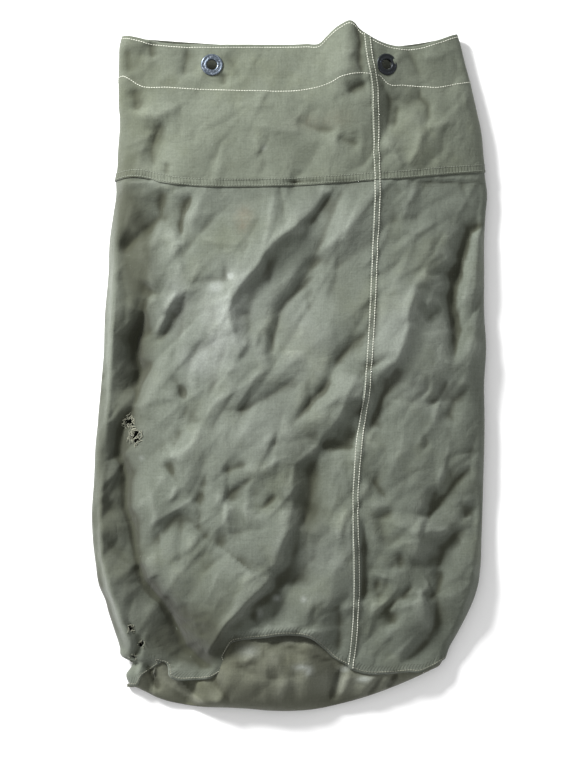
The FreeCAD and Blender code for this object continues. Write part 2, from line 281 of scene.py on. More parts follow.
fold([(164, -270), (177, -328)], 3, 6, 14)
fold([(112, -255), (108, -275), (116, -292)], -4.5, 9, 9)
fold([(117, -292), (136, -320)], -3.2, 8, 8)
# the yoke, left of the seam and right of it
fold([(-206, 418), (-206, 380)], -3.5, 9, 7)
fold([(-177, 423), (-175, 399)], -3.4, 7, 7)
fold([(-128, 415), (-136, 375)], -3.2, 10, 7)
fold([(-81, 408), (-61, 372)], -2, 8, 8)
fold([(-83, 382), (-83, 364)], -2.2, 5, 5)
fold([(-198, 364), (-192, 333)], -4, 10, 8)
fold([(-196, 329), (-168, 328), (-151, 335), (-138, 343)], 3, 12, 7)
fold([(-160, 320), (-170, 304), (-175, 282), (-172, 258)], -5.5, 14, 13)
fold([(-155, 269), (-157, 250)], -2.8, 5, 5)
fold([(-55, 317), (-26, 311), (13, 307)], 2, 14, 8)
fold([(8, 321), (37, 309), (63, 307)], -3.4, 14, 6)
fold([(84, 447), (89, 421), (87, 393), (94, 373)], -5.5, 8, 7)
fold([(72, 356), (98, 370)], -3.4, 7, 7)
fold([(59, 300), (89, 289)], -2.8, 7, 7)
fold([(120, 301), (142, 260)], 3, 7, 11)
fold([(171, 311), (150, 262)], 3, 9, 8)
fold([(115, 371), (126, 346), (123, 317), (120, 302)], -4, 8, 8)
fold([(136, 342), (133, 310)], -2.4, 6, 6)
fold([(165, 365), (165, 350), (175, 340), (175, 324), (171, 312)], -3.6, 6, 9)
fold([(149, 413), (168, 372)], -2.4, 8, 7)
fold([(171, 312), (210, 322)], 2, 8, 7)
swell(150, 340, -4, 13, 12)

# the flat facets between the creases: slanting triangles of cloth, each tipped a little
crumple = random.Random(41)
SLANT = math.radians(54)
SHIFT = 0.42        # how far a corner strays, in spacings
STRETCH = 2.2       # the facets are this much longer along the slant than across it
YOKE_LEVEL = 245    # the doubled cloth above this lies calmer
for spacing, tall in ((64, 6.0), (36, 2.8)):
    points = []
    for i in range(-14, 15):
        for j in range(-22, 23):
            along = (i + crumple.uniform(-SHIFT, SHIFT)) * spacing * 1.75
            across = (j + 0.5 * (i % 2) + crumple.uniform(-SHIFT, SHIFT)) * spacing * 0.8
            points.append((along, across, crumple.uniform(-tall, tall)))
    flattened = [Vector((a / STRETCH, b)) for a, b, _ in points]
    triangles = delaunay_2d_cdt(flattened, [], [], 0, 1e-4)[2]
    for triangle in triangles:
        (a0, b0, h0), (a1, b1, h1), (a2, b2, h2) = (points[k] for k in triangle)
        (x0, y0), (x1, y1), (x2, y2) = (
            (a * math.cos(SLANT) - b * math.sin(SLANT), a * math.sin(SLANT) + b * math.cos(SLANT))
            for a, b in ((a0, b0), (a1, b1), (a2, b2)))
        c0, c1 = np.searchsorted(raster_x, (min(x0, x1, x2), max(x0, x1, x2)))
        r0, r1 = np.searchsorted(raster_y, (min(y0, y1, y2), max(y0, y1, y2)))
        area = (x1 - x0) * (y2 - y0) - (x2 - x0) * (y1 - y0)
        if c1 <= c0 or r1 <= r0 or abs(area) < 1e-6:
            continue
        x, y = np.meshgrid(raster_x[c0:c1], raster_y[r0:r1])
        s1 = ((x - x0) * (y2 - y0) - (x2 - x0) * (y - y0)) / area
        s2 = ((x1 - x0) * (y - y0) - (x - x0) * (y1 - y0)) / area
        inside = (s1 >= 0) & (s2 >= 0) & (s1 + s2 < 1)
        calm = np.where(y > YOKE_LEVEL, 0.5, 1.0)
        relief[r0:r1, c0:c1] += inside * calm * (h0 + s1 * (h1 - h0) + s2 * (h2 - h0))

# and small sharp crumples, mostly slanting the same way
for _ in range(430):
    x, y = crumple.uniform(-240, 240), crumple.uniform(-370, 425)
    way = crumple.gauss(SLANT, 0.5)
    half = crumple.uniform(10, 42)
    bend = crumple.uniform(-7, 7)
    tall = crumple.choice((-1, -1, 1)) * crumple.uniform(0.5, 1.5)
    ends = [(x - half * math.cos(way), y - half * math.sin(way)),
            (x + bend * math.sin(way), y - bend * math.cos(way)),
            (x + half * math.cos(way), y + half * math.sin(way))]
    tall *= 0.6 if y > YOKE_LEVEL else 1.0
    fold(ends, tall, crumple.uniform(2, 6), crumple.uniform(2, 9), 0.5)


def blurred(values, cells):
    """The raster averaged over a square of cells, three times, which is close to a soft blur."""
    for _ in range(3):
        for axis in (0, 1):
            padded = np.pad(values, [(cells, cells) if a == axis else (0, 0) for a in (0, 1)], "edge")
            total = np.cumsum(padded, axis=axis)
            n = values.shape[axis]
            ahead = np.take(total, np.arange(2 * cells, 2 * cells + n), axis=axis)
            behind = np.take(total, np.arange(0, n), axis=axis)
            values = (ahead - behind) / (2 * cells)
    return values


high_ground = relief - blurred(relief, 6)


def read(raster, x, y):
    """The raster's value at any place."""
    i = np.clip((x - raster_x[0]) / CELL, 0, len(raster_x) - 1.001)
    j = np.clip((y - raster_y[0]) / CELL, 0, len(raster_y) - 1.001)
    i0, j0 = i.astype(int), j.astype(int)
    u, v = i - i0, j - j0
    return ((raster[j0, i0] * (1 - u) + raster[j0, i0 + 1] * u) * (1 - v)
            + (raster[j0 + 1, i0] * (1 - u) + raster[j0 + 1, i0 + 1] * u) * v)


SIDE_RISE = 9       # how high the soft side folds stand at their outermost
TIGHTEST = 3.4      # the tightest that canvas bends there
HUMP = (80, 31, 24)    # the mouth's lifted edge by the seam: its place across, its width and height


def middle_and_half(y):
    """The middle and half the width of the bag at a level."""
    left, right = through(LEFT_SIDE, y), through(RIGHT_SIDE, y)
    return (left + right) / 2, (right - left) / 2


def ring(turn, y, folds=True):
    """Where the cloth's outer face is. turn goes round the tube: 0 is the right fold, half pi the
    middle of the front, pi the left fold, and on from there the back."""
    middle, half = middle_and_half(y)
    top, level = through(ARCH, y), through(LEVEL, y)
    across, front = np.cos(turn), np.sin(turn) >= 0
    x = middle + half * across
    edge = level + np.minimum(SIDE_RISE, (top - level) / 2)
    reach = np.where(front, top - edge, level - edge)
    power = np.maximum(2.3, 2 * half * TIGHTEST / reach ** 2)
    bulge = np.sqrt(np.maximum(0, 1 - np.abs(across) ** power))
    z = edge + reach * bulge
    hump_x, hump_width, hump_height = HUMP
    hump = (hump_height * np.clip((y - 238) / 150, 0, 1) ** 1.3
            * np.exp(-0.5 * ((x - hump_x) / hump_width) ** 2))
    z += np.where(front, hump * bulge, 0)
    if folds:
        inset = np.clip((half - np.abs(x - middle)) / 11, 0, 1)
        z += np.where(front, (read(relief, x, y) + 1.0) * inset ** 1.2, 0)
        lowest = np.minimum(edge, level + 5)
        z = np.where(front, lowest + 1.5 * np.logaddexp(0, (z - lowest) / 1.5), z)
        ripple = 0.7 * (1 + np.sin(x / 19 + 1.3 * np.sin(y / 31)) * np.sin(y / 47 + x / 60))
        z += np.where(front, 0, ripple * bulge)
    return np.stack([x, y + 0 * x, z], -1)


def on_cloth(turn, y, out=0.0):
    """The point that stands out from the cloth by out, and the way out there."""
    turn, y = np.broadcast_arrays(np.asarray(turn, float), np.asarray(y, float))
    step = 0.006
    round_way = ring(turn + step, y) - ring(turn - step, y)
    along_way = ring(turn, y + 1.2) - ring(turn, y - 1.2)
    normal = np.cross(along_way, round_way)
    normal /= np.maximum(np.linalg.norm(normal, axis=-1, keepdims=True), 1e-9)
    return ring(turn, y) + normal * np.asarray(out)[..., None], normal


def turn_at(x, y, front=True):
    """The turn of the place with that X, on the front or the back."""
    middle, half = middle_and_half(np.asarray(y, float))
    turn = np.arccos(np.clip((x - middle) / half, -1, 1))
    return turn if front else 2 * np.pi - turn


# the lines that the panels are cut to
FRONT_SEAM = [(-400, 74), (-372, 77), (-337, 81), (-287, 83.5), (-240, 83.5), (-185, 82.3),
              (-134, 83.5), (-71, 89.5), (-30, 95.8), (27, 101.3), (92, 104.6), (157, 107.4),
              (249, 110.5), (287, 109.2), (337, 107.3), (365, 106.5), (380, 104.4), (402, 100.3),
              (425, 98), (445, 96)]
YOKE_EDGE = [(-230, 243), (-220, 246), (-197, 249.5), (-180, 247), (-165, 243), (-127, 238),
             (-51, 236.5), (13, 238), (64, 241.5), (104, 244.5), (140, 247), (190, 252), (255, 257.5)]
RIM = [(-220, 430), (-205, 430.5), (-197, 429), (-178, 424.5), (-159, 421), (-102, 418.3),
       (-51, 418.3), (20, 418.5), (38, 419.5), (46, 427), (56, 436), (65, 442), (83, 444.8),
       (87, 439.5), (95, 432), (108, 423.5), (133, 416), (159, 417), (190, 426), (212, 433),
       (220, 434)]
HEM = [(-220, 373), (-215, 377), (-209, 379), (-203, 376), (-190, 367.5), (-152, 363.5), (-51, 358.5),
       (13, 359), (35, 363), (51, 368.5), (64, 375.5), (75, 378.5), (104, 379), (112, 377.5),
       (120, 368.5), (140, 366), (165, 364.5), (180, 363.5), (200, 367), (230, 372.5)]
BASE_SEAM = [(-210, -397), (-199, -396), (-188, -383), (-178, -371), (-168, -366), (-159, -375),
             (-149, -386), (-140, -389), (-125, -389), (-108, -388), (-96, -385), (-88, -376),
             (-80, -356), (-72, -342), (-60, -337), (-37, -334), (0, -330), (24, -334), (44, -348),
             (65, -365), (80, -374), (97, -379.5), (130, -380.5), (159, -378.5), (172, -379),
             (186, -372), (200, -362)]


def cut_line(turn, stations, middle, half, behind):
    """One of those lines, read at a turn: through listed stations in front, a plain curve behind."""
    across = np.cos(turn)
    return np.where(np.sin(turn) >= 0, through(stations, middle + half * across), behind(across))


def yoke_edge(turn):
    return cut_line(turn, YOKE_EDGE, 13, 235, lambda a: 251 + 6 * a - 14 * (1 - a ** 2))


def rim(turn):
    return cut_line(turn, RIM, 0, 212.5,
                    lambda a: 431.5 + 1.5 * a - (14 + 8 * a) * (1 - np.abs(a) ** 2.6))


def hem(turn):
    return cut_line(turn, HEM, 5, 220, lambda a: 372 - 10 * (1 - a ** 2))


def base_seam(turn):
    return cut_line(turn, BASE_SEAM, -5, 205, lambda a: -379.5 + 17.5 * a + 36 * (1 - a ** 2))


def seam_turn(y, front):
    """The lapped seam's place. The one behind is as far from the left fold as the front one is
    from the right fold."""
    x = through(FRONT_SEAM, y)
    if front:
        return turn_at(x, y)
    return turn_at(through(LEFT_SIDE, y) + through(RIGHT_SIDE, y) - x, y, False)


def spaced_turns(start, end, y, shares, past=0.0):
    """Turns between start and end at one level, at those shares of the way along the cloth, which
    reaches past both ends by so many millimetres. Also gives its length."""
    dense = np.linspace(-2.6, 2 * np.pi + 0.6, 1600)
    shape = ring(np.mod(dense, 2 * np.pi), np.full(dense.shape, y), folds=False)
    length = np.concatenate([[0], np.cumsum(np.linalg.norm(np.diff(shape, axis=0), axis=1))])
    a, b = np.interp([start, end], dense, length)
    way = 1 if b > a else -1
    a, b = a - way * past, b + way * past
    return np.interp(a + (b - a) * shares, length, dense), abs(b - a)


def laid(places, u, v):
    """A sheet of cloth whose points lie at the places given, in millimetres, row by row. u and v
    are how far each point is from two of the sheet's edges."""
    rows, columns = places.shape[:2]
    shape = bmesh.new()
    bmesh.ops.create_grid(shape, x_segments=columns - 1, y_segments=rows - 1, size=1)
    flat = np.array([vert.co[:2] for vert in shape.verts])
    column = np.rint((flat[:, 0] + 1) / 2 * (columns - 1)).astype(int)
    row = np.rint((flat[:, 1] + 1) / 2 * (rows - 1)).astype(int)
    uv = shape.loops.layers.uv.new("cloth")
    u, v = (np.broadcast_to(d, (rows, columns))[row, column] * MM for d in (u, v))
    for face in shape.faces:
        for loop in face.loops:
            loop[uv].uv = (u[loop.vert.index], v[loop.vert.index])
    for vert, place in zip(shape.verts, places[row, column] * MM):
        vert.co = place
        vert.co.z = max(vert.co.z, 0.0003)
    return shape


# marks on the cloth: where each is, how wide and long, and how strong
CHALK = [(-84, 62, 34, 46, 0.9), (-112, 20, 26, 30, 0.7), (-60, 110, 40, 26, 0.5),
         (-93, 111, 6, 5, 1.6), (-146, 92, 16, 30, 0.8), (-76, 123, 4, 4, 1.4),
         (20, 60, 40, 60, 0.35), (-40, -60, 60, 50, 0.25), (60, 180, 50, 40, 0.2),
         (-17, -283, 5, 4, 1.2), (17, -284, 4, 4, 1.0), (-38, -302, 4, 5, 0.8),
         (-33, 286, 3, 3, 1.0), (40, -230, 30, 30, 0.3), (-188, -106, 3, 3, 1.0),
         (132, 50, 26, 50, 0.5), (175, -20, 30, 26, 0.4), (13, -371, 8, 4, 1.6),
         (24, -376, 5, 6, 1.4), (94, -387, 8, 3, 1.4), (70, -374, 6, 3, 1.2),
         (-52, -350, 13, 7, 0.7), (60, -392, 80, 14, 0.25), (0, -337, 40, 4, 0.3)]
# painted shade with some grime: soft patches that darken the cloth where shade falls on its slopes and
# hollows, in the gap along the bottom's seam and near the closed end
SHADE_AND_GRIME = [(-204, 70, 26, 170, 0.8), (-186, 140, 18, 70, 1.1), (-206, 300, 28, 130, 0.6),
         (-208, -40, 26, 90, 0.6), (-190, -270, 34, 60, 1.0), (-138, -334, 44, 32, 2.2),
         (-110, -352, 26, 22, 1.2), (-186, 40, 14, 40, 0.7), (-196, 400, 24, 40, 0.5),
         (-212, 200, 20, 60, 0.7), (66, 110, 18, 30, 0.4), (24, -172, 18, 40, 0.8),
         (-143, 200, 16, 20, 0.3), (-100, -300, 40, 50, 0.6), (-224, -190, 26, 90, 1.0),
         (-243, -120, 14, 120, 0.8), (20, -140, 26, 80, 0.8),
         (-20, -280, 60, 40, 0.35), (190, -260, 60, 120, 0.4), (60, -320, 60, 50, 0.3),
         (-60, -398, 60, 12, 0.7), (60, -416, 90, 9, 0.7), (160, 340, 60, 60, 0.3),
         (-80, 400, 200, 20, 0.15), (-20, -340, 12, 2.5, 1.2), (2, -344, 11, 2.5, 1.4),
         (18, -350, 9, 2.5, 1.6), (32, -356, 9, 2.5, 1.6), (46, -362, 8, 2.5, 1.4),
         (60, -369, 8, 2.5, 1.0), (-66, -368, 9, 2.5, 1.5), (-48, -364, 9, 2.5, 1.2),
         (-34, -352, 3, 8, 1.0)]
RUST = [(-58, 200, 11, 12, 0.7), (-60, 186, 8, 9, 0.5), (26, 318, 20, 10, 0.3), (60, 322, 18, 12, 0.25)]
# the same painted shade and grime mark, set evenly on all the cloth that lies low, behind and at the
# sides
SHADE_AND_GRIME_BEHIND = 0.2


def marked(mesh):
    """Marks each point of a cloth with how far it stands above the cloth round it, how chalky and
    rusty it is there, and how much grime and painted shade it gets there."""
    flat = np.zeros(len(mesh.vertices) * 3)
    mesh.vertices.foreach_get("co", flat)
    x, y, z = flat.reshape(-1, 3).T / MM
    front = z > through(LEVEL, y) + 7
    marks = {"stands_up": np.where(front, read(high_ground, x, y), 0.0)}
    for name, spots in (("chalk", CHALK), ("shade_and_grime", SHADE_AND_GRIME), ("rust", RUST)):
        total = sum(amount * np.exp(-((x - px) / wide) ** 2 - ((y - py) / long) ** 2)
                    for px, py, wide, long, amount in spots)
        marks[name] = np.where(front, total, SHADE_AND_GRIME_BEHIND if name == "shade_and_grime" else 0.0)
    for name, values in marks.items():
        mesh.attributes.new(name, "FLOAT", "POINT").data.foreach_set("value", values)


def add_piece(name, shape, material, slot_name, *replaced, thick=0.0):
    """Puts a finished shape into the scene as one piece that rides on the bag. A sheet gets its
    thickness on the inside."""
    if not thick:
        bmesh.ops.recalc_face_normals(shape, faces=shape.faces)
    mesh = bpy.data.meshes.new(name)
    shape.to_mesh(mesh)
    shape.free()
    mesh.shade_smooth()
    piece = put(name, mesh)
    mesh.materials.append(material)
    if thick:
        wall = piece.modifiers.new("thickness", "SOLIDIFY")
        wall.thickness = thick * MM
        wall.offset = -1
        marked(mesh)
    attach(piece, "root")
    if replaced:
        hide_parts(*replaced)
    return piece


# ======== worn canvas
# Cotton duck, dyed olive green and washed out to grey: a plain weave with slubs, chalky rubbed
# ridges, faint stains and grime, with painted shade in its folds, broad hollows and stitch puckers.
# One group makes the pattern for every panel.
canvas_pattern = bpy.data.node_groups.new("canvas pattern", "ShaderNodeTree")
for in_out, kind, names in (("INPUT", "NodeSocketColor", ("Dye", "Rubbed", "Soil and shade")),
                            ("INPUT", "NodeSocketFloat", ("Rub", "Hollow shade", "Seed")),
                            ("OUTPUT", "NodeSocketColor", ("Colour",)),
                            ("OUTPUT", "NodeSocketFloat", ("Roughness", "Height"))):
    for socket_name in names:
        canvas_pattern.interface.new_socket(socket_name, in_out=in_out, socket_type=kind)


def math_node(tree, operation, first, second=None, clamp=False):
    """A sum done on values or sockets."""
    node = tree.nodes.new("ShaderNodeMath")
    node.operation = operation
    node.use_clamp = clamp
    for index, value in enumerate((first, second)):
        if value is None:
            continue
        if isinstance(value, (int, float)):
            node.inputs[index].default_value = value
        else:
            tree.links.new(value, node.inputs[index])
    return node.outputs[0]


def mixed(tree, share, first, second, blend="MIX"):
    """Two colours mixed: share is how much of the second there is."""
    node = tree.nodes.new("ShaderNodeMix")
    node.data_type = "RGBA"
    node.blend_type = blend
    for socket, value in ((node.inputs[0], share), (node.inputs[6], first), (node.inputs[7], second)):
        if isinstance(value, (int, float)):
            socket.default_value = value
        elif isinstance(value, tuple):
            socket.default_value = (*value, 1)
        else:
            tree.links.new(value, socket)
    return node.outputs[2]


def noise(tree, where, scale, detail=3.0, rough=0.55, seed=None, distort=0.0):
    """Soft random patches. A larger scale makes smaller patches."""
    node = tree.nodes.new("ShaderNodeTexNoise")
    node.noise_dimensions = "4D"
    node.inputs["Scale"].default_value = scale
    node.inputs["Detail"].default_value = detail
    node.inputs["Roughness"].default_value = rough
    node.inputs["Distortion"].default_value = distort
    tree.links.new(where, node.inputs["Vector"])
    if seed is not None:
        tree.links.new(seed, node.inputs["W"])
    return node.outputs["Fac"]


def ranged(tree, value, low, high, to_low=0.0, to_high=1.0):
    """A value that goes softly from to_low to to_high while the given one goes from low to high."""
    node = tree.nodes.new("ShaderNodeMapRange")
    node.interpolation_type = "SMOOTHSTEP"
    for index, number in zip((1, 2, 3, 4), (low, high, to_low, to_high)):
        node.inputs[index].default_value = number
    tree.links.new(value, node.inputs[0])
    return node.outputs[0]


def bumped(tree, shader, height, strength, distance):
    """Lets a height show in how a surface takes the light. The distance is in metres."""
    bump = tree.nodes.new("ShaderNodeBump")
    bump.inputs["Strength"].default_value = strength
    bump.inputs["Distance"].default_value = distance
    tree.links.new(height, bump.inputs["Height"])
    tree.links.new(bump.outputs["Normal"], shader.inputs["Normal"])


tree = canvas_pattern
given = tree.nodes.new("NodeGroupInput")
# darkened is the colour for soil on the cloth and also for the painted shade
rubbed, darkened = given.outputs["Rubbed"], given.outputs["Soil and shade"]
result = tree.nodes.new("NodeGroupOutput")
where = tree.nodes.new("ShaderNodeTexCoord").outputs["Object"]
cloth_uv = tree.nodes.new("ShaderNodeTexCoord").outputs["UV"]
seed = given.outputs["Seed"]
clouds = noise(tree, where, 6, 4, 0.6, seed)
patches = noise(tree, where, 22, 5, 0.65, seed)
grain = noise(tree, where, 420, 2, 0.7, seed)


def mark(name):
    """How strong one of the cloth's marks is."""
    node = tree.nodes.new("ShaderNodeAttribute")
    node.attribute_name = name
    return node.outputs["Fac"]


def slubs(stretch):
    """Thick and thin threads running one way through the cloth."""
    lines = tree.nodes.new("ShaderNodeMapping")
    lines.inputs["Scale"].default_value = stretch
    tree.links.new(where, lines.inputs["Vector"])
    return noise(tree, lines.outputs["Vector"], 1.0, 3, 0.6, seed)


def times(first, second, clamp=False):
    return math_node(tree, "MULTIPLY", first, second, clamp)


slub = times(math_node(tree, "ADD", slubs((620, 45, 60)), slubs((45, 620, 60))), 0.5)
olive = noise(tree, where, 13, 5, 0.62, math_node(tree, "ADD", seed, 3.7))
specks = noise(tree, where, 160, 2, 0.6, seed)
colour = mixed(tree, ranged(tree, clouds, 0.3, 0.7, 0.0, 0.35), given.outputs["Dye"], rubbed)
colour = mixed(tree, ranged(tree, patches, 0.42, 0.75, 0.0, 0.22), colour, darkened)
stands_up = mark("stands_up")
ridge_rub = ranged(tree, stands_up, 0.1, 2.2)
rub = times(ridge_rub, ranged(tree, patches, 0.25, 0.6, 0.35, 1.0))
rub = times(rub, given.outputs["Rub"], clamp=True)
colour = mixed(tree, rub, colour, rubbed)
# painted shade: the cloth is darkened where it lies lower than the cloth round it, standing in for the
# shade in its hollows
painted_hollow_shade = ranged(tree, stands_up, -0.2, -3.2)
hollow_shade = times(painted_hollow_shade, given.outputs["Hollow shade"], clamp=True)
colour = mixed(tree, hollow_shade, colour, darkened)
yellowed = mixed(tree, 1.0, colour, (1.0, 0.98, 0.74), "MULTIPLY")
colour = mixed(tree, ranged(tree, olive, 0.48, 0.70, 0.0, 0.32), colour, yellowed)
colour = mixed(tree, ranged(tree, slub, 0.36, 0.50, 0.22, 0.0), colour, darkened)
colour = mixed(tree, ranged(tree, slub, 0.52, 0.66, 0.0, 0.17), colour, rubbed)
chalky = times(mark("chalk"), ranged(tree, patches, 0.3, 0.62, 0.25, 1.0), clamp=True)
colour = mixed(tree, times(chalky, 0.6), colour, (0.27, 0.29, 0.27))
# painted shade with some grime: the listed patches darken the cloth towards the soil and shade colour
shade_and_grime_share = times(mark("shade_and_grime"), ranged(tree, clouds, 0.3, 0.6, 0.42, 0.66))
colour = mixed(tree, math_node(tree, "MINIMUM", shade_and_grime_share, 0.86), colour, darkened)
rusty = times(mark("rust"), ranged(tree, specks, 0.3, 0.6, 0.4, 1.0), clamp=True)
colour = mixed(tree, times(rusty, 0.5), colour, (0.115, 0.085, 0.055))
colour = mixed(tree, ranged(tree, grain, 0.35, 0.65, 0.0, 0.16), colour, (0.02, 0.023, 0.017))
colour = mixed(tree, ranged(tree, specks, 0.66, 0.8, 0.0, 0.14), colour, (0.26, 0.28, 0.24))
split = tree.nodes.new("ShaderNodeSeparateXYZ")
tree.links.new(cloth_uv, split.inputs[0])


def band(value, low, high):
    """1 between two distances from the sheet's edge, 0 elsewhere, with soft borders."""
    soft = 0.0006
    return times(ranged(tree, value, low - soft, low + soft),
                 ranged(tree, value, high + soft, high - soft))


def ticks(value):
    """The cloth drawn in by each stitch."""
    pucker_pitch = 0.0042
    wave = math_node(tree, "SINE", times(value, 2 * math.pi / pucker_pitch))
    return ranged(tree, wave, -0.2, 0.9)


from_seam, from_edge = split.outputs[0], split.outputs[1]
seam_ticks = times(band(from_seam, 0.0012, 0.0100), ticks(from_edge))
edge_ticks = times(band(from_edge, 0.0015, 0.0105), ticks(from_seam))
puckered = math_node(tree, "MAXIMUM", seam_ticks, edge_ticks)
# painted shade: the cloth is darkened in the small dips that each stitch draws in
colour = mixed(tree, times(puckered, 0.22), colour, darkened)
tree.links.new(colour, result.inputs["Colour"])
yarns = []
for way in "XY":
    yarn = tree.nodes.new("ShaderNodeTexWave")
    yarn.inputs["Scale"].default_value = 230
    yarn.inputs["Distortion"].default_value = 0.6
    yarn.bands_direction = way
    tree.links.new(cloth_uv, yarn.inputs["Vector"])
    yarns.append(yarn.outputs["Fac"])
weave = times(math_node(tree, "ADD", *yarns), 0.5)
fine_crumple = noise(tree, where, 70, 3, 0.55, seed, 0.4)
creases = noise(tree, where, 30, 4, 0.5, seed, 0.5)
sharp = math_node(tree, "ABSOLUTE", math_node(tree, "SUBTRACT", creases, 0.5))
height = times(weave, 0.12)
for part, share in ((fine_crumple, 0.9), (grain, 0.30), (puckered, -0.6), (sharp, 7.0)):
    height = math_node(tree, "ADD", height, times(part, share))
tree.links.new(height, result.inputs["Height"])
tree.links.new(ranged(tree, patches, 0.3, 0.7, 0.82, 0.96), result.inputs["Roughness"])


def canvas(name, dye, rubbed, darkened, rub, hollow_shade, seed_value):
    """A canvas material with its own dye, wear and soiling, and with painted shade in its hollows."""
    material, tree, shader = new_material(name)
    pattern = tree.nodes.new("ShaderNodeGroup")
    pattern.node_tree = canvas_pattern
    for key, value in (("Dye", dye), ("Rubbed", rubbed), ("Soil and shade", darkened)):
        pattern.inputs[key].default_value = (*value, 1)
    for key, value in (("Rub", rub), ("Hollow shade", hollow_shade), ("Seed", seed_value)):
        pattern.inputs[key].default_value = value
    tree.links.new(pattern.outputs["Colour"], shader.inputs["Base Color"])
    tree.links.new(pattern.outputs["Roughness"], shader.inputs["Roughness"])
    bumped(tree, shader, pattern.outputs["Height"], 0.55, 0.0007)
    shader.inputs["Specular IOR Level"].default_value = 0.25
    shader.inputs["Sheen Weight"].default_value = 0.15
    shader.inputs["Sheen Roughness"].default_value = 0.5
    return material


# ======== body panels
# Two lengths of canvas make the tube. Each meets the other in a lapped seam in front and one
# behind, with its edge laid over or under its neighbour's. They run up under the yoke.
body_cloth = canvas("body canvas", dye=(0.090, 0.102, 0.081), rubbed=(0.155, 0.171, 0.144),
                    darkened=(0.029, 0.031, 0.018), rub=0.75, hollow_shade=0.9, seed_value=1.0)
THICK = 1.2     # the canvas
LAP = 4.4       # how far each edge runs past the seam's middle
LAYER = 1.3     # how far one layer of cloth lifts the next
# each tear: where it is, half its width and length, and how ragged it is
TEARS = [(-204, -61, 5.6, 7.5, 0.3), (-196.5, -79, 6.0, 10.5, 0.3), (-201, -321, 3.2, 4.4, 0.3),
         (-189, -343, 3.4, 3.8, 0.3), (-200, -361, 4.4, 3.4, 0.3)]


def tear_edge(tear, angle):
    """How far out the ragged edge of a tear is."""
    x, y, wide, long, ragged = tear
    even = 1 / np.sqrt((np.cos(angle) / wide) ** 2 + (np.sin(angle) / long) ** 2)
    return even * (1 + ragged * np.sin(3 * angle + x) * np.cos(5 * angle + y)
                   + 0.5 * ragged * np.sin(9 * angle + y))


def torn(shape, tear):
    """Tears a hole in the front of a cloth."""
    inside = {}
    for vert in shape.verts:
        dx, dy = vert.co.x / MM - tear[0], vert.co.y / MM - tear[1]
        if abs(dx) < 40 and abs(dy) < 40 and vert.co.z > 0.008:
            edge = tear_edge(tear, math.atan2(dy, dx))
            if math.hypot(dx, dy) < edge:
                inside[vert] = edge / max(math.hypot(dx, dy), 0.1)
    gone = [face for face in shape.faces if all(vert in inside for vert in face.verts)]
    bmesh.ops.delete(shape, geom=gone, context="FACES")
    for vert, out in inside.items():
        if vert.is_valid:
            vert.co.x = (tear[0] + (vert.co.x / MM - tear[0]) * out) * MM
            vert.co.y = (tear[1] + (vert.co.y / MM - tear[1]) * out) * MM


def tube_panel(side, low, high, rows, behind, ahead, out, run_up=0.0):
    """A left or right panel between two lines round the tube. It runs from the seam behind, round
    its side fold, to the front seam. In front the right one's edge lies over the left one's."""
    left = side == "left"
    fold_share = 0.34 if left else 0.66
    shares = np.concatenate([np.linspace(0, fold_share, behind, endpoint=False),
                             np.linspace(fold_share, 1, ahead)])
    turns, ys, lift = (np.zeros((rows, len(shares))) for _ in range(3))
    widths = np.zeros((rows, 1))
    for row, v in enumerate(np.linspace(0, 1, rows)):
        level, ends = (-360 + 610 * v if low is base_seam else 245 + 175 * v), []
        for front in (False, True):
            y = level
            for _ in range(4):
                turn = float(seam_turn(y, front))
                y = float(low(turn) * (1 - v) + (high(turn) + run_up) * v)
            ends.append((turn if front or left else turn - 2 * np.pi, y))
        (start, start_y), (end, end_y) = ends
        turns[row], widths[row] = spaced_turns(start, end, (start_y + end_y) / 2, shares, LAP)
        around = np.mod(turns[row], 2 * np.pi)
        ys[row] = low(around) * (1 - v) + (high(around) + run_up) * v
        from_end = widths[row] * (shares if left else 1 - shares)
        lift[row] = out + LAYER * np.clip((2.6 * LAP - from_end) / 5, 0, 1)
    places, _ = on_cloth(np.mod(turns, 2 * np.pi), ys, lift)
    shape = laid(places, widths * (1 - shares[None, :]), ys - ys[:1])
    if not left:
        bmesh.ops.reverse_faces(shape, faces=shape.faces)
    return shape


for side, behind, ahead in (("left", 36, 150), ("right", 60, 80)):
    shape = tube_panel(side, base_seam, yoke_edge, 250, behind, ahead, 0.0, 12.0)
    if side == "left":
        for tear in TEARS:
            torn(shape, tear)
    panel = add_piece("body_" + side, shape, body_cloth, "body_canvas", "body_panel_" + side,
                      thick=THICK)

# ======== frayed threads
# Where the cloth is torn, its own threads stand out of the ragged edge, bleached and bent.
frayed_cotton, cotton_tree, cotton_shader = new_material("frayed cotton")
cotton_shader.inputs["Roughness"].default_value = 0.9
cotton_where = cotton_tree.nodes.new("ShaderNodeTexCoord").outputs["Object"]
cotton_tint = mixed(cotton_tree, noise(cotton_tree, cotton_where, 300, 2),
                    (0.075, 0.078, 0.055), (0.26, 0.26, 0.20))
cotton_tree.links.new(cotton_tint, cotton_shader.inputs["Base Color"])

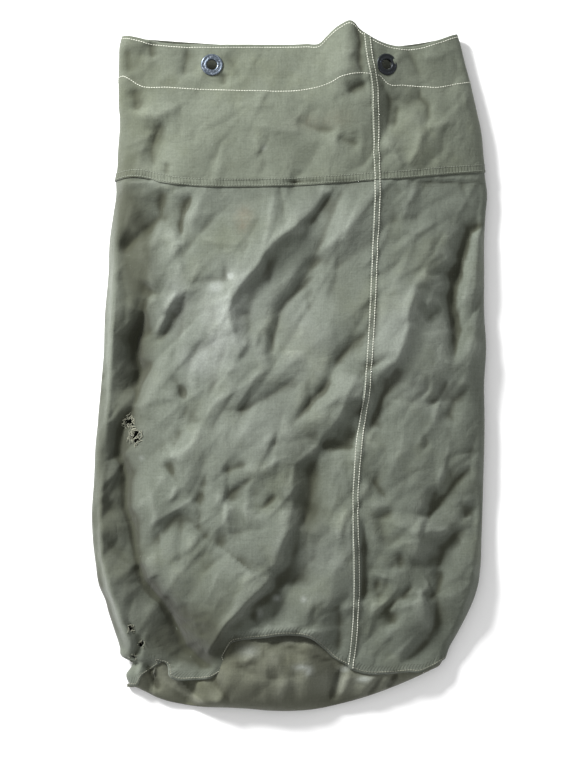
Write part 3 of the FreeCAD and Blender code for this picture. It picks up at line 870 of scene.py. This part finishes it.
frayed = bpy.data.curves.new("frayed threads", "CURVE")
frayed.dimensions = "3D"
frayed.bevel_depth = 0.00045
frayed.bevel_resolution = 0
frayed.resolution_u = 3
fray = random.Random(8)
for tear, count in zip(TEARS, (34, 40, 12, 12, 12)):
    size = (tear[2] + tear[3]) / 2
    for _ in range(count):
        angle = fray.uniform(0, 2 * math.pi)
        start = float(tear_edge(tear, angle)) + 1.5
        heading = angle + math.pi + fray.gauss(0, 0.7)
        x, y = tear[0] + start * math.cos(angle), tear[1] + start * math.sin(angle)
        length = fray.uniform(0.35, 1.25) * size
        spline = frayed.splines.new("NURBS")
        spline.points.add(4)
        spline.order_u = 3
        spline.use_endpoint_u = True
        drop = fray.uniform(-0.8, 0.5)
        for k, point in enumerate(spline.points):
            place = on_cloth(turn_at(x, y), y, 0.3 + drop * k + 0.5 * math.sin(k))[0]
            point.co = (*(Vector(place) * MM), 1)
            heading += fray.gauss(0, 0.5)
            x += length / 4 * math.cos(heading)
            y += length / 4 * math.sin(heading)
fray_guide = bpy.data.objects.new("fray guide", frayed)
fray_mesh = bpy.data.meshes.new_from_object(fray_guide)
bpy.data.objects.remove(fray_guide)
fray_shape = bmesh.new()
fray_shape.from_mesh(fray_mesh)
add_piece("frayed_threads", fray_shape, frayed_cotton, "body_canvas")

# ======== yoke panels
# A second band of canvas, a little less washed out, sewn over the body's upper edge. Its cloth
# is pierced for the eyelets.
yoke_cloth = canvas("yoke canvas", dye=(0.092, 0.104, 0.078), rubbed=(0.148, 0.163, 0.130),
                    darkened=(0.034, 0.037, 0.022), rub=0.6, hollow_shade=0.8, seed_value=4.0)
EYELETS = {"front_left": (-99, 392), "front_right": (122, 392),
           "back_left": (-122, 392), "back_right": (99, 392)}
EYELET_CUT = 0.0074


def eyelet_seat(place):
    """Where an eyelet is pressed into the cloth, and the way it faces."""
    x, y = EYELETS[place]
    front = place.startswith("front")
    spots = [(x + dx, y + dy) for dx, dy in ((0, 0), (9, 0), (-9, 0), (0, 9), (0, -9))]
    centre, right, left, up, down = (on_cloth(turn_at(a, b, front), b, LAYER)[0] for a, b in spots)
    facing = np.cross(right - left, up - down)
    facing *= (1 if front else -1) / np.linalg.norm(facing)
    return Vector((centre + right + left + up + down) / 5) * MM, Vector(facing)


def pierced(shape):
    """Cuts the eyelets' holes."""
    for place in EYELETS:
        centre, _ = eyelet_seat(place)
        hole = [face for face in shape.faces
                if (face.calc_center_median() - centre).length < EYELET_CUT]
        bmesh.ops.delete(shape, geom=hole, context="FACES")


for side, behind, ahead in (("left", 40, 150), ("right", 60, 90)):
    shape = tube_panel(side, yoke_edge, rim, 84, behind, ahead, LAYER)
    pierced(shape)
    panel = add_piece("yoke_" + side, shape, yoke_cloth, "yoke_canvas", "yoke_panel_" + side,
                      thick=THICK)

# ======== mouth facing
# A band of the same canvas inside the mouth, its colours darkened as painted shade for the dim
# inside of the bag. It doubles the cloth that the eyelets are set in, and the hem stitches hold
# its lower edge.
around = np.linspace(0, 2 * np.pi, 300)
facing_rows = np.linspace(0, 1, 30)[:, None]
facing_ys = (hem(around) - 3.5) * (1 - facing_rows) + (rim(around) - 0.4) * facing_rows
places, _ = on_cloth(around + 0 * facing_ys, facing_ys, 0.0 * facing_ys)
FAR = 1000      # for a sheet with no stitches near its edges
shape = laid(places, FAR + 0 * facing_ys, FAR + 0 * facing_ys)
bmesh.ops.reverse_faces(shape, faces=shape.faces)
bmesh.ops.remove_doubles(shape, verts=shape.verts, dist=0.00005)
pierced(shape)
# painted shade: the facing's colours are darkened to stand for the shade inside the mouth
shaded_facing_cloth = canvas("facing canvas in painted shade", dye=(0.036, 0.040, 0.029), rubbed=(0.060, 0.066, 0.050),
                      darkened=(0.015, 0.016, 0.010), rub=0.4, hollow_shade=0.7, seed_value=7.0)
facing = add_piece("facing", shape, shaded_facing_cloth, "facing_canvas", "mouth_facing", thick=THICK)

# ======== round bottom
# A disc of canvas closes the tube. It folds where the bag lies flat: its front half shows below
# the body's edge, turns under round the end, and its other half is sewn to the body behind.
BOTTOM = [(-214, -396), (-208, -397.5), (-197, -399), (-184, -405), (-170, -412), (-155, -417),
          (-141, -420), (-115, -424), (-85, -425), (-55, -426.5), (-27, -429), (0, -429.5),
          (32, -427), (65, -420), (97, -411), (130, -399), (162, -385), (175, -378.5),
          (187, -373), (195, -368)]
base_cloth = canvas("base canvas", dye=(0.082, 0.086, 0.060), rubbed=(0.150, 0.156, 0.120),
                    darkened=(0.034, 0.035, 0.021), rub=0.8, hollow_shade=0.9, seed_value=9.0)
END_HEIGHT = 5      # how high the bag's closed end stands at its outermost
across = np.cos(np.linspace(math.pi, 0, 150))
front_turn, back_turn = np.arccos(across), 2 * np.pi - np.arccos(across)
seam_y, back_y = base_seam(front_turn), base_seam(back_turn)
open_here = np.exp(-np.clip(np.abs(across - 0.06) / 0.34, 0, 9) ** 2.5)
hidden_y = np.max([np.roll(seam_y, k) for k in range(-14, 15)], axis=0)
hidden_y = np.convolve(np.pad(hidden_y, 12, "edge"), np.ones(25) / 25, "valid") + 3
hidden_y = np.where(np.abs(across) > 0.86, seam_y + 3, hidden_y)
hidden_y = np.convolve(np.pad(hidden_y, 3, "edge"), np.ones(7) / 7, "valid")
hidden_y = np.maximum(hidden_y, seam_y + 1)
top_in = on_cloth(front_turn, hidden_y + 10, -2.8 - 5 * open_here)[0]
top_edge = on_cloth(front_turn, hidden_y, -2.4 - 7 * open_here)[0]
low_edge = on_cloth(back_turn, back_y + 1, -1.6)[0]
low_in = on_cloth(back_turn, back_y + 10, -1.6)[0]
end_x = -11 + 197 * across
end_y = np.minimum(through(BOTTOM, end_x), seam_y - 2)
rows = []
# the allowance inside the body
for s in np.linspace(0, 1, 5, endpoint=False):
    rows.append(top_in * (1 - s) + top_edge * s)
# the front, from under the body's edge to the end of the bag
for s in np.linspace(0, 1, 34):
    angle = s * math.pi / 2
    x = top_edge[:, 0] + (end_x - top_edge[:, 0]) * s
    y = top_edge[:, 1] + (end_y - top_edge[:, 1]) * math.sin(angle) ** 0.92
    z = END_HEIGHT + (top_edge[:, 2] - END_HEIGHT) * math.cos(angle) ** 0.8
    depth = top_edge[:, 1] - y
    tuck = -7 * open_here * np.sin(np.pi * np.clip(depth / 15, 0, 1))
    calm = math.sin(math.pi * min(1, s * 1.1 + 0.05)) ** 0.5 if 0 < s < 0.9 else 0
    soft = read(relief, x, y) * calm * np.clip((seam_y - y) / 16, 0.1, 1)
    under_body = on_cloth(turn_at(x, y), y, -2.6)[0][:, 2] + 0.35 * np.maximum(seam_y - y, 0)
    rows.append(np.stack([x, y, np.maximum(np.minimum(z + tuck + soft, under_body), 3)], -1))
# round the end, then flat underneath to the seam behind and its allowance
for s in np.linspace(0, 1, 7)[1:]:
    angle = s * math.pi / 2
    z = END_HEIGHT - 3.2 * math.sin(angle)
    rows.append(np.stack([end_x, end_y + 4 * (1 - math.cos(angle)), z + 0 * end_x], -1))
under = rows[-1]
for s in np.linspace(0, 1, 18)[1:]:
    rows.append(under * (1 - s) + low_edge * s)
for s in np.linspace(0, 1, 4)[1:]:
    rows.append(low_edge * (1 - s) + low_in * s)
places = np.array(rows)[::-1]
shape = laid(places, FAR + 0 * places[..., 0], FAR + 0 * places[..., 0])
base = add_piece("base", shape, base_cloth, "base_canvas", "base_panel", thick=THICK)

# ======== eyelets
# Each eyelet is a rolled steel barrel and flange, once lacquered black, closed over a washer
# inside the cloth.
def turned(profile, place):
    """A ring turned from its profile, given as (radius, height) in millimetres."""
    centre, facing = eyelet_seat(place)
    ring_shape = bmesh.new()
    corners = [ring_shape.verts.new((r * MM, 0, z * MM)) for r, z in profile]
    edges = [ring_shape.edges.new(pair) for pair in zip(corners, corners[1:] + corners[:1])]
    bmesh.ops.spin(ring_shape, geom=corners + edges, cent=(0, 0, 0), axis=(0, 0, 1), steps=48,
                   angle=2 * math.pi, use_merge=True)
    bmesh.ops.remove_doubles(ring_shape, verts=ring_shape.verts, dist=0.00001)
    turn = facing.to_track_quat("Z", "Y").to_matrix().to_4x4()
    bmesh.ops.transform(ring_shape, matrix=Matrix.Translation(centre) @ turn, verts=ring_shape.verts)
    return ring_shape


def metal(name, lacquer, bare, wear, rough):
    """Steel under worn lacquer."""
    material, tree, shader = new_material(name)
    where = tree.nodes.new("ShaderNodeTexCoord").outputs["Object"]
    scuffed = noise(tree, where, 520, 4, 0.7)
    bare_here = ranged(tree, scuffed, 0.62 - wear, 0.72 - wear)
    tree.links.new(mixed(tree, bare_here, lacquer, bare), shader.inputs["Base Color"])
    tree.links.new(ranged(tree, scuffed, 0.3, 0.8, rough, rough + 0.25), shader.inputs["Roughness"])
    shader.inputs["Metallic"].default_value = 0.85
    bumped(tree, shader, scuffed, 0.3, 0.0002)
    return material


FLANGE = [(6.6, -3.2), (6.6, 0.3), (6.9, 1.0), (7.6, 1.5), (8.5, 1.55), (9.3, 1.0), (11.6, 0.9),
          (12.3, 1.4), (13.1, 1.3), (13.8, 0.7), (14.0, 0.0), (13.6, -0.25), (7.6, -0.15), (7.25, -3.2)]
WASHER = [(7.3, -3.5), (12.2, -3.5), (12.5, -3.2), (12.2, -2.6), (7.3, -2.6)]
bright_steel = metal("eyelet steel", (0.085, 0.105, 0.130), (0.30, 0.34, 0.40), 0.10, 0.30)
black_steel = metal("blackened eyelet steel", (0.022, 0.025, 0.028), (0.16, 0.20, 0.26), 0.02, 0.34)
dull_steel = metal("washer steel", (0.030, 0.032, 0.032), (0.12, 0.12, 0.12), 0.0, 0.5)
for place in EYELETS:
    finish = bright_steel if place.endswith("left") else black_steel
    add_piece("eyelet_ring_" + place, turned(FLANGE, place), finish, "eyelet_steel", "eyelet_" + place)
    add_piece("washer_" + place, turned(WASHER, place), dull_steel, "washer_steel",
              "eyelet_washer_" + place)

# ======== stitches
# Heavy lockstitch, about eight to the inch: pale thread at the mouth, the hem and the long
# seams, soiled at the bottom, and green thread that hardly shows on the yoke's lower edge.
def thread(name, colour, worn):
    """Twisted cotton thread, darker where it is worn."""
    material, tree, shader = new_material(name)
    where = tree.nodes.new("ShaderNodeTexCoord").outputs["Object"]
    tint = ranged(tree, noise(tree, where, 35, 3, 0.6), 0.35, 0.65)
    tree.links.new(mixed(tree, tint, worn, colour), shader.inputs["Base Color"])
    shader.inputs["Roughness"].default_value = 0.7
    shader.inputs["Sheen Weight"].default_value = 0.2
    bumped(tree, shader, noise(tree, where, 1800, 1, 0.5), 0.4, 0.0002)
    return material


pale_thread = thread("pale thread", (0.52, 0.53, 0.45), (0.34, 0.35, 0.29))
soiled_thread = thread("soiled thread", (0.20, 0.20, 0.15), (0.10, 0.10, 0.075))
green_thread = thread("green thread", (0.125, 0.140, 0.105), (0.075, 0.083, 0.060))
PITCH = 3.3                 # from one stitch to the next
HALF_LONG, HALF_HIGH = 1.45, 0.36
stitch = bmesh.new()
bmesh.ops.create_uvsphere(stitch, u_segments=6, v_segments=4, radius=1)
bmesh.ops.rotate(stitch, verts=stitch.verts, matrix=Matrix.Rotation(math.pi / 2, 3, "Y"))
one_stitch = bpy.data.meshes.new("one stitch")
stitch.to_mesh(one_stitch)
stitch_form = np.array([vert.co[:] for vert in stitch.verts])
stitch.free()


def sewn(name, turns, ys, out, material, slot_name, node, thick=0.6):
    """One row of stitches along a line on the cloth."""
    line, facing = on_cloth(turns, ys, out)
    run = np.concatenate([[0], np.cumsum(np.linalg.norm(np.diff(line, axis=0), axis=1))])
    middles = np.arange(PITCH / 2, run[-1], PITCH)
    centre, before, after, up = (
        np.stack([np.interp(middles + d, run, part[:, k]) for k in range(3)], -1)
        for d, part in ((0, line), (-1.2, line), (1.2, line), (0, facing)))
    along = after - before
    along /= np.linalg.norm(along, axis=1, keepdims=True)
    side = np.cross(up, along)
    side /= np.linalg.norm(side, axis=1, keepdims=True)
    shape = bmesh.new()
    for _ in middles:
        shape.from_mesh(one_stitch)
    x, y, z = stitch_form.T[:, None, :, None]
    places = (centre[:, None] + HALF_LONG * x * along[:, None] + thick * y * side[:, None]
              + HALF_HIGH * z * np.cross(along, side)[:, None]).reshape(-1, 3) * MM
    for vert, place in zip(shape.verts, places):
        vert.co = place
        vert.co.z = max(vert.co.z, 0.0)
    return add_piece(name, shape, material, slot_name, node)


all_round = np.linspace(0, 2 * np.pi, 900)
for name, ys, out, cotton, slot_name, node in (
        ("mouth_stitching", rim(all_round) - 4, LAYER + 0.15, pale_thread, "pale_thread",
         "mouth_edge_stitches"),
        ("hem_stitching", hem(all_round), LAYER + 0.15, pale_thread, "pale_thread", "hem_stitches"),
        ("yoke_stitching_lower", yoke_edge(all_round) + 2.2, LAYER + 0.1, green_thread,
         "green_thread", "yoke_stitches_lower"),
        ("yoke_stitching_upper", yoke_edge(all_round) + 9.6, LAYER + 0.1, green_thread,
         "green_thread", "yoke_stitches_upper"),
        ("base_stitching", base_seam(all_round) + 3.2, 0.1, soiled_thread, "pale_thread",
         "base_stitches")):
    sewn(name, all_round, ys, out, cotton, slot_name, node)
for where_seam, front in (("front", True), ("back", False)):
    for side, step in (("left", -3.0), ("right", 3.0)):
        ys = np.linspace(-400, 446, 700)
        xs = through(FRONT_SEAM, ys)
        if not front:
            xs = through(LEFT_SIDE, ys) + through(RIGHT_SIDE, ys) - xs
        turns = turn_at(xs + step, ys, front)
        on_bag = (ys > base_seam(turns) + 1.5) & (ys < rim(turns) - 1)
        turns, ys = turns[on_bag], ys[on_bag]
        out = LAYER + 0.15 + LAYER * np.clip((ys - yoke_edge(turns) + 0.6) / 1.2, 0, 1)
        sewn(f"{where_seam}_seam_stitching_{side}", turns, ys, out, pale_thread, "pale_thread",
             f"{where_seam}_seam_stitches_{side}")
